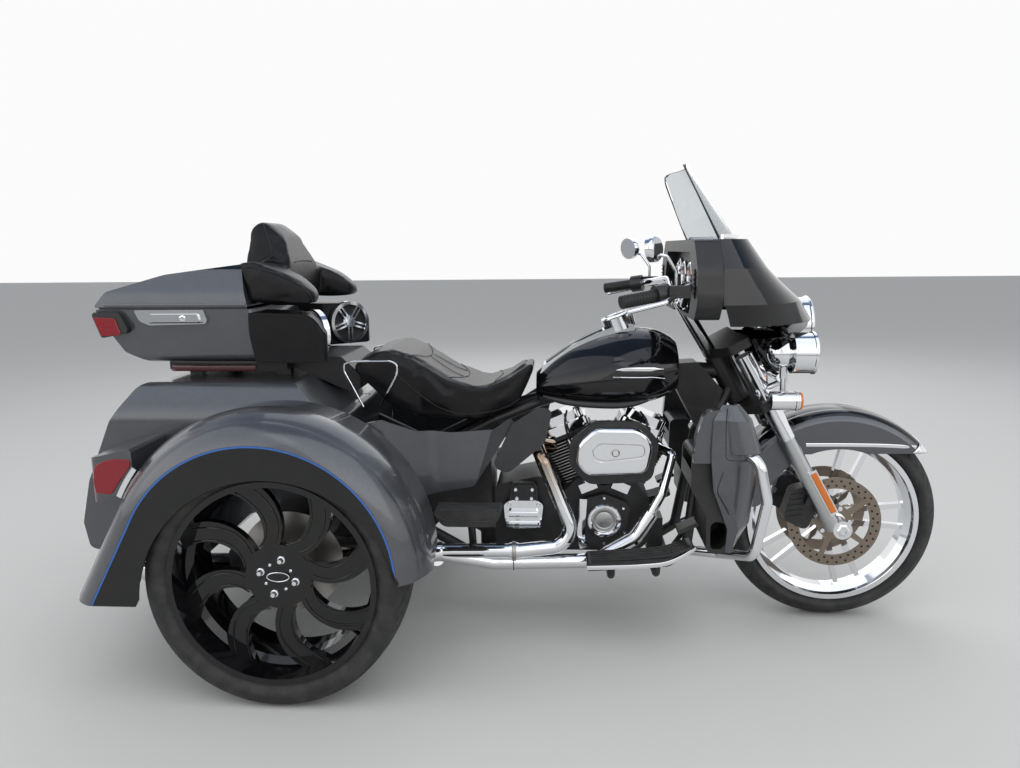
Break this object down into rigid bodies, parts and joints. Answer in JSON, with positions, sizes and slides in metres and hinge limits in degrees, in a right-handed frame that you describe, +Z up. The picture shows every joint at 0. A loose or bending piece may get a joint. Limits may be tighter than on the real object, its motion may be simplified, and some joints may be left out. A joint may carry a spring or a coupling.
{
  "type": "motorized trike",
  "caption": "Full-dress touring trike: finned V-twin, fork-mounted fairing with windshield, wide rear wheels under round fenders, lidded top trunk with backrest.",
  "frame": {"origin": "on the ground under the middle of the overall length, on the centre plane", "axes": "+X forward along the trike, +Y to the rider's left, +Z up"},
  "size_m": [2.6947, 1.408, 1.486],
  "materials": {
    "charcoal": "charcoal grey metallic, gloss clear coat",
    "black_gloss": "gloss black paint",
    "black_frame": "black powder coat, satin",
    "chrome": "polished",
    "steel": "turned steel",
    "rotor": "ground steel, browned",
    "aluminium": "cast, satin silver",
    "cast_black": "black painted castings",
    "black_plastic": "fine-grained moulding",
    "windshield_glass": "clear moulded sheet",
    "red_lens": "red lens",
    "leather": "black stitched seat cover",
    "rubber": "black ribbed rubber",
    "tyre": "black rubber, dusty"
  },
  "bodies": {
    "chassis": {"rear_axle": "cast_black", "frame": "black_frame", "engine_case": "aluminium", "engine_covers": "chrome", "cylinders": "aluminium", "rocker_boxes": "chrome", "pushrod_covers": "chrome", "air_backplate": "cast_black", "air_cover": "chrome", "exhaust": "chrome", "fuel_tank": "black_gloss", "tank_console": "chrome", "seat": "leather", "side_covers": "charcoal", "rear_body": "charcoal", "rear_fender_right": "charcoal", "rear_fender_left": "charcoal", "tail_lamps": "red_lens", "trunk_support": "black_frame", "trunk_base": "charcoal", "speaker_pods": "leather", "speakers": "chrome", "trunk_latch": "chrome", "lower_fairings": "charcoal", "engine_guard": "chrome", "rider_footboards": "rubber"},
    "steering": {"triple_clamps": "chrome", "fork": "chrome", "front_calipers": "cast_black", "front_fender": "charcoal", "fairing_outer": "charcoal", "fairing_inner": "black_gloss", "windshield": "windshield_glass", "handlebar": "chrome", "hand_controls": "chrome", "mirrors": "chrome", "headlamp": "chrome", "lamp_bar": "chrome"},
    "front_wheel": {"front_rim": "chrome", "front_tyre": "tyre", "front_rotors": "rotor"},
    "rear_wheel_right": {"rear_rim_right": "black_gloss", "rear_tyre_right": "tyre", "rear_hub_right": "steel"},
    "rear_wheel_left": {"rear_rim_left": "black_gloss", "rear_tyre_left": "tyre", "rear_hub_left": "steel"},
    "trunk_lid": {"trunk_lid": "black_gloss", "backrest": "leather"},
    "rear_hatch": {"rear_hatch": "charcoal"},
    "pillion_board_right": {"pillion_board_right": "rubber"},
    "pillion_board_left": {"pillion_board_left": "rubber"}
  },
  "joints": [
    {"name": "steering_turn", "type": "hinge", "parent": "chassis", "child": "steering", "pos_m": [0.6529, 0, 0.816], "axis": [-0.4818, 0, 0.8763], "range_deg": [-35, 35]},
    {"name": "front_wheel_spin", "type": "hinge", "parent": "steering", "child": "front_wheel", "pos_m": [1.0025, 0, 0.345], "axis": [0, 1, 0], "continuous": true},
    {"name": "rear_wheel_right_spin", "type": "hinge", "parent": "chassis", "child": "rear_wheel_right", "pos_m": [-0.6675, -0.56, 0.36], "axis": [0, 1, 0], "continuous": true},
    {"name": "rear_wheel_left_spin", "type": "hinge", "parent": "chassis", "child": "rear_wheel_left", "pos_m": [-0.6675, 0.56, 0.36], "axis": [0, 1, 0], "continuous": true},
    {"name": "trunk_lid_hinge", "type": "hinge", "parent": "chassis", "child": "trunk_lid", "pos_m": [-1.0675, 0.3115, 1.072], "axis": [-1, 0, 0], "range_deg": [0, 70]},
    {"name": "rear_hatch_hinge", "type": "hinge", "parent": "chassis", "child": "rear_hatch", "pos_m": [-1.3415, 0, 0.483], "axis": [0, -1, 0], "range_deg": [0, 85]},
    {"name": "pillion_board_right_fold", "type": "hinge", "parent": "chassis", "child": "pillion_board_right", "pos_m": [-0.1755, -0.288, 0.448], "axis": [-1, 0, 0], "range_deg": [0, 75]},
    {"name": "pillion_board_left_fold", "type": "hinge", "parent": "chassis", "child": "pillion_board_left", "pos_m": [-0.1755, 0.288, 0.448], "axis": [1, 0, 0], "range_deg": [0, 75]}
  ]
}
